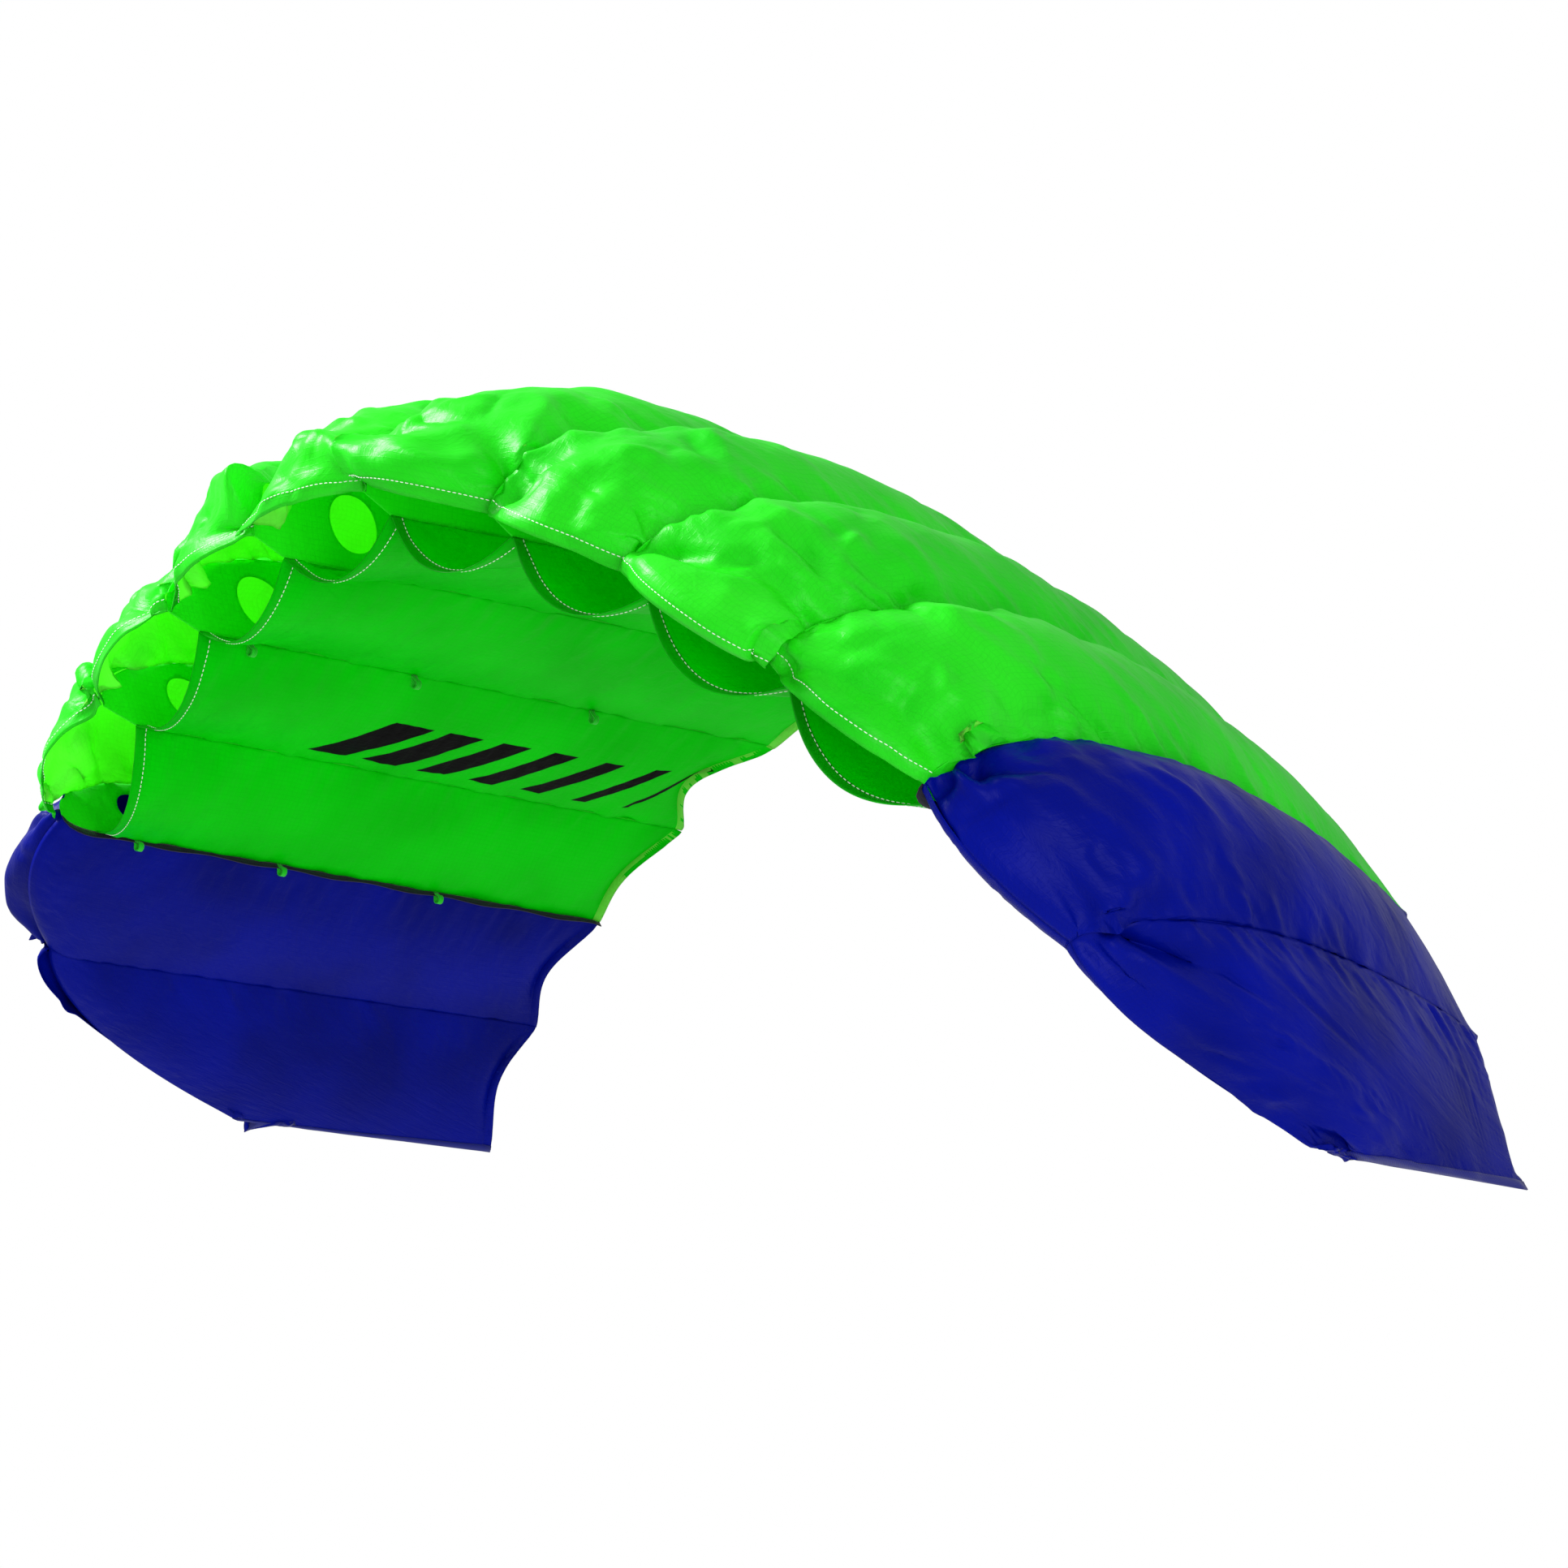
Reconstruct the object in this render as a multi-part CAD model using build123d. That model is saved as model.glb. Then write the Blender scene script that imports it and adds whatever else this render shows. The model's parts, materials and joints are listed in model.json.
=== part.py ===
from build123d import *
import os
from math import cos, pi, radians, sin, sqrt

# Parafoil kite: twelve ram-air cells under one arched canopy, in millimetres.
# +X runs along the span to the right wing, +Y from the leading edge back along the
# chord, +Z up. The origin is the front bridle loop on the centre rib.

# Plan and arch
cell_width = 140.0
centre_chord = 720.0
leading_edge_sweep = 180.0      # how far back the leading edge lies at the fifth rib
tip_sweep = 440.0               # and at the wing tip
tip_rounding = 25.0             # bow of the leading edge of the last cell
washout = 5.0                   # degrees the tip's chord is turned down at the rear
cell_slopes = [10.0, 21.0, 29.5, 36.5, 50.5, 72.5]   # degrees below level, centre outwards
open_cells = 4                  # cells a side with a mouth; the two outside them are closed

# Rib section
profile_height = 82.0           # top skin above the mouth's upper lip, on the centre rib
tip_height = 5.0                # the same at the tip, where the skins come together
mouth_height = 14.0             # upper lip to lower lip at a rib
lip_setback = 30.0              # lower lip behind the upper lip
tail_drop = 7.0                 # trailing edge below the upper lip
tail_flange = 8.0               # sewn edge behind the trailing seam

# Ballooning of the cloth between two ribs
top_balloon = 38.0
nose_balloon = 26.0
bottom_balloon = 5.0
lip_droop = 36.0
tail_pull = 8.0                 # the trailing edge draws forward between two ribs

# Cloth, tape and loops
skin_thickness = 0.5
rib_thickness = 0.8
seam_gap = 0.3                  # free room beside a rib that the canopy flexes about
hem_width = 12.0
hem_thickness = 0.6
crossport_share = 0.30          # crossport radius over the rib's depth where it sits
crossport_places = [0.15, 0.32, 0.50]
loop_bore = 3.0                 # radius
loop_wall = 1.2
loop_width = 5.0
loop_stem = 5.0
loop_places = [0.12, 0.38, 0.68]
loop_ribs = [0, 2, 4]
binding_wall = 1.0

cells_a_side = len(cell_slopes)
curve_steps = 9                 # points along each skin curve


# --- Where the ribs stand ---------------------------------------------------------

def between(values, place):
    """Read a list of rib values at a place that may lie half way across a cell."""
    low = min(int(place), len(values) - 2)
    share = place - low
    return values[low] * (1 - share) + values[low + 1] * share


def arch_line():
    """Leading-edge positions of the ribs in the X-Z plane, centre outwards."""
    points = [(0.0, 0.0)]
    for slope in cell_slopes:
        x, z = points[-1]
        points.append((x + cell_width * cos(radians(slope)), z - cell_width * sin(radians(slope))))
    return points


def setback(place):
    """Leading edge behind the centre rib's: a parabola, then the cut-back tip cell."""
    last = cells_a_side - 1
    if place <= last:
        return leading_edge_sweep * (place / last) ** 2
    share = place - last
    bow = tip_rounding * 4 * share * (1 - share)
    return leading_edge_sweep + (tip_sweep - leading_edge_sweep) * share - bow


def tilt(place):
    """Lean of the section outwards: the cell's own slope, or the mean of two at a rib."""
    if place == 0:
        return 0.0
    if place == cells_a_side:
        return cell_slopes[-1]
    if place != int(place):
        return cell_slopes[int(place)]
    rib = int(place)
    return (cell_slopes[rib - 1] + cell_slopes[rib]) / 2


def section_plane(place, shift=0.0):
    """Plane of the section at a place on the right wing: x aft, y up, origin at the upper lip."""
    arch = arch_line()
    x = between([point[0] for point in arch], place)
    z = between([point[1] for point in arch], place)
    lean = radians(tilt(place))
    twist = radians(washout * place / cells_a_side)
    up = Vector(sin(lean), 0, cos(lean))
    aft = Vector(0, 1, 0) * cos(twist) - up * sin(twist)
    outward = Vector(cos(lean), 0, -sin(lean))
    return Plane(Vector(x, setback(place), z) + outward * shift, x_dir=aft, z_dir=outward)


def is_rib(place):
    return place == int(place)


def chord(place):
    """Upper lip to trailing seam; the trailing edge of the ribs is one straight line."""
    pull = 0.0 if is_rib(place) else tail_pull
    return centre_chord - setback(place) - pull


def height(place):
    """Top skin above the upper lip."""
    last = cells_a_side - 1
    heights = [profile_height * chord(rib) / centre_chord for rib in range(last + 1)]
    return between(heights + [tip_height], place)


# --- Section curves, as points in a section plane ---------------------------------

def hump(x):
    """Thickness form of a classic four-digit wing section, 1.0 at its highest."""
    return 10 * (0.2969 * sqrt(x) - 0.1260 * x - 0.3516 * x**2 + 0.2843 * x**3 - 0.1036 * x**4)


def top_point(place, x):
    """Inner face of the top skin, x from 0 at the lip to 1 at the trailing seam."""
    forward = 0.0 if is_rib(place) else nose_balloon
    level = height(place) * hump(x) - tail_drop * x
    return (-forward + (chord(place) + forward) * x, level + top_swell(place) * fullness(x))


def top_swell(place):
    """How far the top skin bows out between ribs; the short tip cell swells less."""
    if is_rib(place):
        return 0.0
    return top_balloon * (0.5 if place > cells_a_side - 1 else 1.0)


def fullness(x):
    """Share of the swell along the chord, half way between the section's form and a half round."""
    return hump(x) / 2 + sqrt(max(x * (1 - x), 0.0))


def bottom_point(place, x, is_open):
    """Inner face of the bottom skin. A closed cell's skin runs up to the upper lip."""
    depth = mouth_height if place <= cells_a_side - 1 else between([mouth_height, 1.0], place - cells_a_side + 1)
    start = lip_setback if is_open else 0.0
    forward = 0.0 if is_rib(place) or is_open else nose_balloon
    along = start - forward + (chord(place) - start + forward) * x
    level = -depth + (depth - tail_drop) * x
    if not is_open:
        nose = min(along + forward, lip_setback) / lip_setback
        level = -depth * sqrt(1 - (1 - nose) ** 2) + (depth - tail_drop) * x
    if not is_rib(place):
        level -= bottom_balloon * 4 * x * (1 - x)
        if is_open:
            level -= lip_droop * (1 - x) ** 6
    return (along, level)


def top_curve(place, last=1.0):
    """Points from the lip back, bunched at the nose where the section turns fastest."""
    steps = curve_steps
    return [top_point(place, last * (step / steps) ** 2) for step in range(steps + 1)]


def bottom_curve(place, is_open, last=1.0):
    steps = curve_steps
    return [bottom_point(place, last * (step / steps) ** 2, is_open) for step in range(steps + 1)]


def shifted(points, distance, first_normal):
    """The same points moved off the curve, up for a positive distance."""
    moved = []
    for number, point in enumerate(points):
        before = points[max(number - 1, 0)]
        after = points[min(number + 1, len(points) - 1)]
        along = (after[0] - before[0], after[1] - before[1])
        length = sqrt(along[0] ** 2 + along[1] ** 2)
        normal = (-along[1] / length, along[0] / length)
        if number == 0:
            normal = first_normal
        moved.append((point[0] + normal[0] * distance, point[1] + normal[1] * distance))
    return moved


def spline_on(plane, points):
    return Spline([plane.from_local_coords(Vector(u, v, 0)) for u, v in points])


def line_on(plane, start, end):
    return Line(plane.from_local_coords(Vector(*start, 0)), plane.from_local_coords(Vector(*end, 0)))


def strip_face(plane, inner, outer, tail=None):
    """Thin face between two curves, with a straight flange behind them if tail is given."""
    edges = [spline_on(plane, inner)]
    inner_end = inner[-1]
    outer_end = outer[-1]
    if tail:
        inner_tail = (inner_end[0] + tail_flange, inner_end[1])
        outer_tail = (inner_tail[0], inner_tail[1] + tail)
        edges += [line_on(plane, inner_end, inner_tail)]
        edges += [line_on(plane, inner_tail, outer_tail)]
        edges += [line_on(plane, outer_tail, outer_end)]
    else:
        edges += [line_on(plane, inner_end, outer_end)]
    edges += [spline_on(plane, outer[::-1]), line_on(plane, outer[0], inner[0])]
    return Face(Wire(edges))


# --- The pieces of the right wing -------------------------------------------------

def stations(cell):
    """Section planes across one cell: at its inner rib, half way and at its outer rib."""
    gap = seam_gap if cell > 1 else 0.0
    end = 0.0 if cell == cells_a_side else -rib_thickness / 2
    return [
        (cell - 1, section_plane(cell - 1, rib_thickness / 2 + gap)),
        (cell - 0.5, section_plane(cell - 0.5)),
        (cell, section_plane(cell, end)),
    ]


def top_panel(cell):
    faces = []
    for place, plane in stations(cell):
        inner = top_curve(place)
        outer = shifted(inner, skin_thickness, (-1, 0))
        faces.append(strip_face(plane, inner, outer, skin_thickness))
    return loft(faces)


def lip_normal(is_open):
    """The lower lip's edge is square to the cloth; a closed nose meets the top skin's edge."""
    return (0, 1) if is_open else (1, 0)


def bottom_panel(cell):
    is_open = cell <= open_cells
    faces = []
    for place, plane in stations(cell):
        inner = bottom_curve(place, is_open)
        outer = shifted(inner, -skin_thickness, lip_normal(is_open))
        faces.append(strip_face(plane, inner, outer, -skin_thickness))
    return loft(faces)


def upper_hem(cell):
    """Folded tape inside the top skin's front edge."""
    faces = []
    for place, plane in stations(cell):
        nose_share = 0.01
        rise = top_point(place, nose_share)[1]
        skin = top_curve(place, nose_share * (hem_width / rise) ** 2)
        faces.append(strip_face(plane, skin, shifted(skin, -hem_thickness, (-1, 0))))
    return loft(faces)


def lower_hem(cell):
    """Folded tape inside the bottom skin's front edge."""
    faces = []
    for place, plane in stations(cell):
        skin = bottom_curve(place, True, hem_width / chord(place))
        faces.append(strip_face(plane, skin, shifted(skin, hem_thickness, (0, 1))))
    return loft(faces)


def rib_outline(rib):
    """Outside of both skins, cut straight across the mouth on an open cell's rib."""
    plane = section_plane(rib)
    is_open = rib < open_cells
    top = shifted(top_curve(rib), skin_thickness, (-1, 0))
    bottom = shifted(bottom_curve(rib, is_open), -skin_thickness, lip_normal(is_open))
    tail = (chord(rib) + tail_flange, -tail_drop)
    top_tail = (tail[0], tail[1] + skin_thickness)
    bottom_tail = (tail[0], tail[1] - skin_thickness)
    edges = [
        spline_on(plane, top),
        line_on(plane, top[-1], top_tail),
        line_on(plane, top_tail, bottom_tail),
        line_on(plane, bottom_tail, bottom[-1]),
        spline_on(plane, bottom[::-1]),
    ]
    if is_open:
        edges.append(line_on(plane, bottom[0], top[0]))
    return Face(Wire(edges))


def rib_plate(rib):
    return extrude(rib_outline(rib), amount=rib_thickness / 2, both=True)


def rib_depth(rib, x):
    """Lower and upper face of the rib at a share of its chord."""
    is_open = rib < open_cells
    along = top_point(rib, x)[0]
    start = lip_setback if is_open else 0.0
    low = bottom_point(rib, (along - start) / (chord(rib) - start), is_open)[1]
    return along, low, top_point(rib, x)[1]


def rib_with_ports(rib):
    """Rib with its crossports, the round holes that pass air from cell to cell."""
    plate = rib_plate(rib)
    for x in crossport_places:
        along, low, high = rib_depth(rib, x)
        radius = crossport_share * (high - low)
        port = Cylinder(radius, 4 * rib_thickness)
        plate -= section_plane(rib) * Pos(along, (low + high) / 2) * port
    return plate


def loop_centre(rib, x):
    along, low, high = rib_depth(rib, x)
    return along, low - skin_thickness - loop_stem - loop_bore - loop_wall


def bridle_loop(rib, x):
    """Folded tape loop sewn into the rib's lower seam, its hole along the seam."""
    along, level = loop_centre(rib, x)
    outer = loop_bore + loop_wall
    reach = loop_stem + 2 * outer
    stem = Pos(along, level + reach / 2) * Box(loop_width, reach, rib_thickness)
    across_tape = Pos(along, level) * Rot(0, 90, 0)
    ring = across_tape * Cylinder(outer, loop_width)
    bore = across_tape * Cylinder(loop_bore, 2 * loop_width)
    loop = section_plane(rib) * (stem + ring - bore)
    return loop - rib_plate(rib)


def tip_binding():
    """Tape over the tip's edge, where both skins come together."""
    outward = section_plane(cells_a_side).z_dir
    return extrude(rib_outline(cells_a_side), amount=binding_wall, dir=outward)


# --- The whole kite ---------------------------------------------------------------

def place_in_frame(solid, side):
    """Mirror a right-wing piece for the left wing, and put the front centre loop at the origin."""
    along, level = loop_centre(0, loop_places[0])
    if side == "left":
        solid = mirror(solid, about=Plane.YZ)
    return Pos(0, -along, -level) * solid


def save(node, *solids):
    """Write one node, a single solid or a group of them."""
    shape = solids[0] if len(solids) == 1 else Compound(children=list(solids))
    export_step(shape, f"parts/{node}.step")


def save_wing(side):
    for cell in range(1, cells_a_side + 1):
        save(f"top_panel_{side}_{cell}", place_in_frame(top_panel(cell), side))
        save(f"bottom_panel_{side}_{cell}", place_in_frame(bottom_panel(cell), side))
        if cell <= open_cells:
            hems = [place_in_frame(hem(cell), side) for hem in (upper_hem, lower_hem)]
            save(f"mouth_hem_{side}_{cell}", *hems)
        if cell < cells_a_side:
            save(f"rib_{side}_{cell}", place_in_frame(rib_with_ports(cell), side))
        if cell in loop_ribs:
            save_loops(cell, side)
    save(f"tip_binding_{side}", place_in_frame(tip_binding(), side))


def save_loops(rib, side):
    name = f"{side}_{rib}" if rib else "centre"
    loops = [place_in_frame(bridle_loop(rib, x), side) for x in loop_places]
    save(f"bridle_loop_front_{name}", loops[0])
    save(f"bridle_loops_rear_{name}", *loops[1:])


os.makedirs("parts", exist_ok=True)
save("rib_centre", place_in_frame(rib_with_ports(0), "right"))
save_loops(0, "right")
save_wing("right")
save_wing("left")

# The canopy flexes about lines along the ribs, level with the highest point of each rib.
for rib in range(1, cells_a_side):
    plane = section_plane(rib)
    peak = max(point[1] for point in shifted(top_curve(rib), skin_thickness, (-1, 0)))
    along, level = loop_centre(0, loop_places[0])
    pivot = plane.from_local_coords(Vector(0, peak, 0)) - Vector(0, along, level)
    turn = cell_slopes[rib] - cell_slopes[rib - 1]
    print(f"flex line {rib}: through {pivot} along {plane.x_dir}, {turn:.1f} degrees to straight")
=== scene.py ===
import bpy
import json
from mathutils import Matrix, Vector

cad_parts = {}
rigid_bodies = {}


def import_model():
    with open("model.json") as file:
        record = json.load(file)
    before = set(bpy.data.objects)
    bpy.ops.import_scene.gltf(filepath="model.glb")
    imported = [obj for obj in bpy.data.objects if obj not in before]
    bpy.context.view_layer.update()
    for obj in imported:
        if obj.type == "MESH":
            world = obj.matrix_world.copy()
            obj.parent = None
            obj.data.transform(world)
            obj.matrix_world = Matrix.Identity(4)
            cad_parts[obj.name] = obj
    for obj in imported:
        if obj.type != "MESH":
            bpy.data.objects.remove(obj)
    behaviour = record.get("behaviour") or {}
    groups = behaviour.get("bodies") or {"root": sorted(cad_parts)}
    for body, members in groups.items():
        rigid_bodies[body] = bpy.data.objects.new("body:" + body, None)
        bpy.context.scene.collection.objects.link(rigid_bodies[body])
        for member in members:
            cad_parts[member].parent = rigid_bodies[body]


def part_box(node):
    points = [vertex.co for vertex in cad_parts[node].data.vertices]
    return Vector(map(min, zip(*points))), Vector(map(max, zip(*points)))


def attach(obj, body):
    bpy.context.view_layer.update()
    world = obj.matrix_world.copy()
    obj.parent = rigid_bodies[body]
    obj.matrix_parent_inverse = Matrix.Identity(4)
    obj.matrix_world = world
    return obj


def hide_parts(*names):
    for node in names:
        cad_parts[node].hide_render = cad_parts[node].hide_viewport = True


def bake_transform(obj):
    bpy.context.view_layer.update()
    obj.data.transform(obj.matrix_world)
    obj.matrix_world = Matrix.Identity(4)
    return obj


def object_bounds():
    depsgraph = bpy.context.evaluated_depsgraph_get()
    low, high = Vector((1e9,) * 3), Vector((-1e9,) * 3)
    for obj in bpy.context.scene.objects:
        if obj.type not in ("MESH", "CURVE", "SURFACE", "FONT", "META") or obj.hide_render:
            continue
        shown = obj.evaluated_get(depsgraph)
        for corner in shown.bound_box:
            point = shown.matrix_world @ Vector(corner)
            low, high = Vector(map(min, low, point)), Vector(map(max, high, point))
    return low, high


for leftOver in list(bpy.data.objects):     # the start-up cube, lamp and camera
    bpy.data.objects.remove(leftOver)
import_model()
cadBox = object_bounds()

import json
import math

import bmesh
import numpy as np
from mathutils import Matrix, Vector


# Small helpers

def linearColour(hexValue):     # sRGB hex to the linear values that shaders take
    parts = [int(hexValue[i:i + 2], 16) / 255 for i in (0, 2, 4)]
    return tuple(c / 12.92 if c <= 0.04045 else ((c + 0.055) / 1.055) ** 2.4 for c in parts) + (1.0,)


def addNode(material, kind, settings={}, links={}):
    node = material.node_tree.nodes.new(kind)
    for name, value in settings.items():
        if isinstance(name, int) or name in node.inputs:
            node.inputs[name].default_value = value
        else:
            setattr(node, name, value)
    for name, socket in links.items():
        material.node_tree.links.new(socket, node.inputs[name])
    return node


def newMaterial(name):
    material = bpy.data.materials.new(name)
    material.use_nodes = True
    material.node_tree.nodes.clear()
    return material


def pieceFrom(shape, name, *materials):     # a bmesh made an object at the origin
    mesh = bpy.data.meshes.new(name)
    shape.to_mesh(mesh)
    shape.free()
    piece = bpy.data.objects.new(name, mesh)
    bpy.context.scene.collection.objects.link(piece)
    for material in materials:
        mesh.materials.append(material)
    mesh.shade_smooth()
    return piece


# The arch, and the wing section at any place along the span

wing = {
    "slopes": [10.0, 21.0, 29.5, 36.5, 50.5, 72.5],    # degrees below level, cell by cell outwards
    "cell": 0.140,              # rib to rib along the arch
    "chord": 0.720,             # centre rib, lip to trailing seam
    "sweep": 0.180,             # leading edge of the fifth rib behind the centre's
    "tipSweep": 0.440,
    "tipBow": 0.025,
    "washout": 5.0,             # degrees the tip is turned down at the rear
    "openCells": 4,             # cells a side with a mouth
}
section = {
    "height": 0.082,            # top skin over the upper lip at the centre rib
    "tipHeight": 0.005,
    "mouth": 0.014,             # lower lip under the upper lip
    "lipSetback": 0.030,
    "tailDrop": 0.007,
    "flange": 0.008,            # sewn edge behind the trailing seam
    "skin": 0.0005,
    "rib": 0.0008,
}
balloon = {
    "top": 0.038,               # how far the cloth stands out half way between two ribs
    "nose": 0.026,
    "bottom": 0.005,
    "droop": 0.036,             # the lower lip hangs
    "tail": 0.008,              # the trailing edge draws forward
}
cells = len(wing["slopes"])


def between(values, place):
    low = min(int(place), len(values) - 2)
    return values[low] + (values[low + 1] - values[low]) * (place - low)


def archPoint(place):
    slopes = np.radians(wing["slopes"])
    x = np.concatenate(([0], np.cumsum(wing["cell"] * np.cos(slopes))))
    z = np.concatenate(([0], -np.cumsum(wing["cell"] * np.sin(slopes))))
    return between(x, place), between(z, place)


def setback(place):     # leading edge behind the centre's: a parabola, then the cut-back tip
    last = cells - 1
    if place <= last:
        return wing["sweep"] * (place / last) ** 2
    share = place - last
    straight = wing["sweep"] + (wing["tipSweep"] - wing["sweep"]) * share
    return straight - wing["tipBow"] * 4 * share * (1 - share)


def lean(place):        # degrees the section leans outwards
    if place == 0:
        return 0.0
    if place == cells:
        return wing["slopes"][-1]
    if place != int(place):
        return wing["slopes"][int(place)]
    return (wing["slopes"][int(place) - 1] + wing["slopes"][int(place)]) / 2


def chordAt(place):
    return wing["chord"] - setback(place) - (0 if place == int(place) else balloon["tail"])


def heightAt(place):
    ribs = [section["height"] * chordAt(rib) / wing["chord"] for rib in range(cells)]
    return between(ribs + [section["tipHeight"]], place)


def hump(x):            # thickness form of a four-digit wing section, 1 at its highest
    return 10 * (0.2969 * np.sqrt(x) - 0.1260 * x - 0.3516 * x**2 + 0.2843 * x**3 - 0.1036 * x**4)


def topLine(place, x):  # along the chord and above the lip, for shares x of the chord
    full = place != int(place)
    forward = balloon["nose"] if full else 0.0
    swell = balloon["top"] * (0.5 if place > cells - 1 else 1.0) if full else 0.0
    roundness = hump(x) / 2 + np.sqrt(np.clip(x * (1 - x), 0, 1))
    along = -forward + (chordAt(place) + forward) * x
    return along, heightAt(place) * hump(x) - section["tailDrop"] * x + swell * roundness


def bottomLine(place, x, isOpen):
    full = place != int(place)
    depth = section["mouth"]
    if place > cells - 1:
        depth += (0.001 - depth) * (place - cells + 1)
    start = section["lipSetback"] if isOpen else 0.0
    forward = balloon["nose"] if full and not isOpen else 0.0
    along = start - forward + (chordAt(place) - start + forward) * x
    level = -depth + (depth - section["tailDrop"]) * x
    if not isOpen:
        nose = np.clip((along + forward) / section["lipSetback"], 0, 1)
        level = -depth * np.sqrt(1 - (1 - nose) ** 2) + (depth - section["tailDrop"]) * x
    if full:
        level = level - balloon["bottom"] * 4 * x * (1 - x)
        if isOpen:
            level = level - balloon["droop"] * (1 - x) ** 6
    return along, level


# The centre rib in the frame gives the place of the upper lip
ribLow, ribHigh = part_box("rib_centre")
peak = float(np.max(topLine(0, np.linspace(0, 1, 400))[1]))
lipAt = np.array((0.0, ribLow.y + section["skin"], ribHigh.z - section["skin"] - peak))


def sectionAxes(place):     # origin at the upper lip, aft, up and outward
    tip = math.radians(lean(place))
    twist = math.radians(wing["washout"] * place / cells)
    up = np.array((math.sin(tip), 0, math.cos(tip)))
    aft = np.array((0, 1, 0)) * math.cos(twist) - up * math.sin(twist)
    outward = np.array((math.cos(tip), 0, -math.sin(tip)))
    x, z = archPoint(place)
    return lipAt + (x, setback(place), z), aft, np.cross(outward, aft), outward


def sectionPoints(place, line, x):
    origin, aft, up, _ = sectionAxes(place)
    along, level = line(place, x)
    return origin + np.outer(along, aft) + np.outer(level, up)


def arcLengths(points):
    steps = np.linalg.norm(np.diff(points, axis=0), axis=-1)
    return np.concatenate((np.zeros((1,) + steps.shape[1:]), np.cumsum(steps, axis=0)))


# The cloth of one cell: rows along the chord, columns from the inner rib to the outer

weave = {
    "columns": 34,
    "topRows": 124,
    "bottomRows": 80,
    "flangeRows": 2,
}


def evenShares(place, line, rows):      # shares of the chord that space the rows evenly on the cloth
    fine = np.linspace(0, 1, 600) ** 2
    arc = arcLengths(sectionPoints(place, line, fine))
    return np.interp(np.linspace(0, arc[-1], rows + 1), arc, fine)


def clothGrid(cell, line, rows):
    x = evenShares(cell - 0.5, line, rows)
    inner, middle, outer = (sectionPoints(place, line, x) for place in (cell - 1, cell - 0.5, cell))
    s = np.linspace(0, 1, weave["columns"] + 1)[:, None]
    near, mid, far = 2 * (s - 0.5) * (s - 1), 4 * s * (1 - s), 2 * s * (s - 0.5)
    return inner[:, None] * near + middle[:, None] * mid + outer[:, None] * far


def isOpen(cell):
    return cell <= wing["openCells"]


def cellCloth(cell):        # one tube, over the top from the lip and back below to the lower lip
    top = clothGrid(cell, topLine, weave["topRows"])
    bottom = clothGrid(cell, lambda place, x: bottomLine(place, x, isOpen(cell)), weave["bottomRows"])
    return np.concatenate((top, bottom[-2::-1]))


# Puckers along the seams, and larger creases that fan out of the corners of the nose: the cloth is a
# little longer than the rib and the lip that it is gathered on

pucker = {
    "spacing": 0.010,
    "reach": (0.012, 0.055),
    "width": (0.0030, 0.0065),
    "depth": (0.0012, 0.0042),
    "skew": 0.5,                # slant of a pucker, as a slope
}
crease = {
    "count": 9,                 # at each front corner
    "reach": (0.040, 0.130),
    "width": (0.0050, 0.0120),
    "depth": (0.0050, 0.0120),
    "start": 0.035,             # the first stretch of the seam that they leave from
}


slump = {                   # soft dents where the air hasn't filled the nose
    "count": 16,
    "within": 0.200,            # of the front edge
    "length": (0.020, 0.050),
    "width": (0.006, 0.013),
    "depth": (0.0025, 0.0075),
    "hold": 0.010,              # the seams keep them off by about this much
}


def unitNormals(points):
    down = np.gradient(points, axis=0)
    across = np.gradient(points, axis=1)
    normal = np.cross(across, down)
    return normal / np.maximum(np.linalg.norm(normal, axis=2, keepdims=True), 1e-12)


def seamRelief(flat, rng, strength, corners):
    along, width = flat[..., 1], flat[..., 0].max()
    rise = np.zeros(along.shape)
    for edge in (flat[..., 0], width - flat[..., 0]):
        for place in np.arange(along.min(), along.max(), pucker["spacing"]):
            place += rng.uniform(-0.5, 0.5) * pucker["spacing"]
            reach, size = rng.uniform(*pucker["reach"]), rng.uniform(*pucker["width"])
            depth = strength * rng.uniform(*pucker["depth"]) * rng.choice((-1, 1))
            slant = rng.uniform(-1, 1) * pucker["skew"]
            off = (along - place - slant * edge) / (size * (1 + edge / reach))
            rise += depth * np.exp(-off**2 - edge / reach) * edge / (edge + 0.003)
        for _ in range(crease["count"] if corners else 0):
            reach, size = rng.uniform(*crease["reach"]), rng.uniform(*crease["width"])
            depth = strength * rng.uniform(*crease["depth"]) * rng.choice((-1, 1))
            place, turn = rng.uniform(0, crease["start"]), rng.uniform(-0.3, 1.2)
            run = edge * math.cos(turn) + (along - place) * math.sin(turn)
            off = (along - place) * math.cos(turn) - edge * math.sin(turn)
            off = off / (size * (1 + np.abs(run) / reach))
            rise += depth * np.exp(-off**2 - np.abs(run) / reach) * np.clip(run / 0.012, 0, 1)
    inner, outer = flat[..., 0], width - flat[..., 0]
    loose = inner / (inner + slump["hold"]) * outer / (outer + slump["hold"])
    for _ in range(slump["count"] if corners else 0):
        place, turn = rng.uniform((0, 0.01), (width, slump["within"])), rng.uniform(0.1, 1.5)
        turn = turn if place[0] < width / 2 else -turn
        long, short = rng.uniform(*slump["length"]), rng.uniform(*slump["width"])
        depth = strength * rng.uniform(*slump["depth"]) * rng.choice((-1, 1))
        dx, dy = flat[..., 0] - place[0], along - place[1]
        run, off = dx * math.cos(turn) + dy * math.sin(turn), dy * math.cos(turn) - dx * math.sin(turn)
        rise += depth * loose * np.exp(-(run / long) ** 2 - (off / short) ** 2)
    return rise


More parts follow.
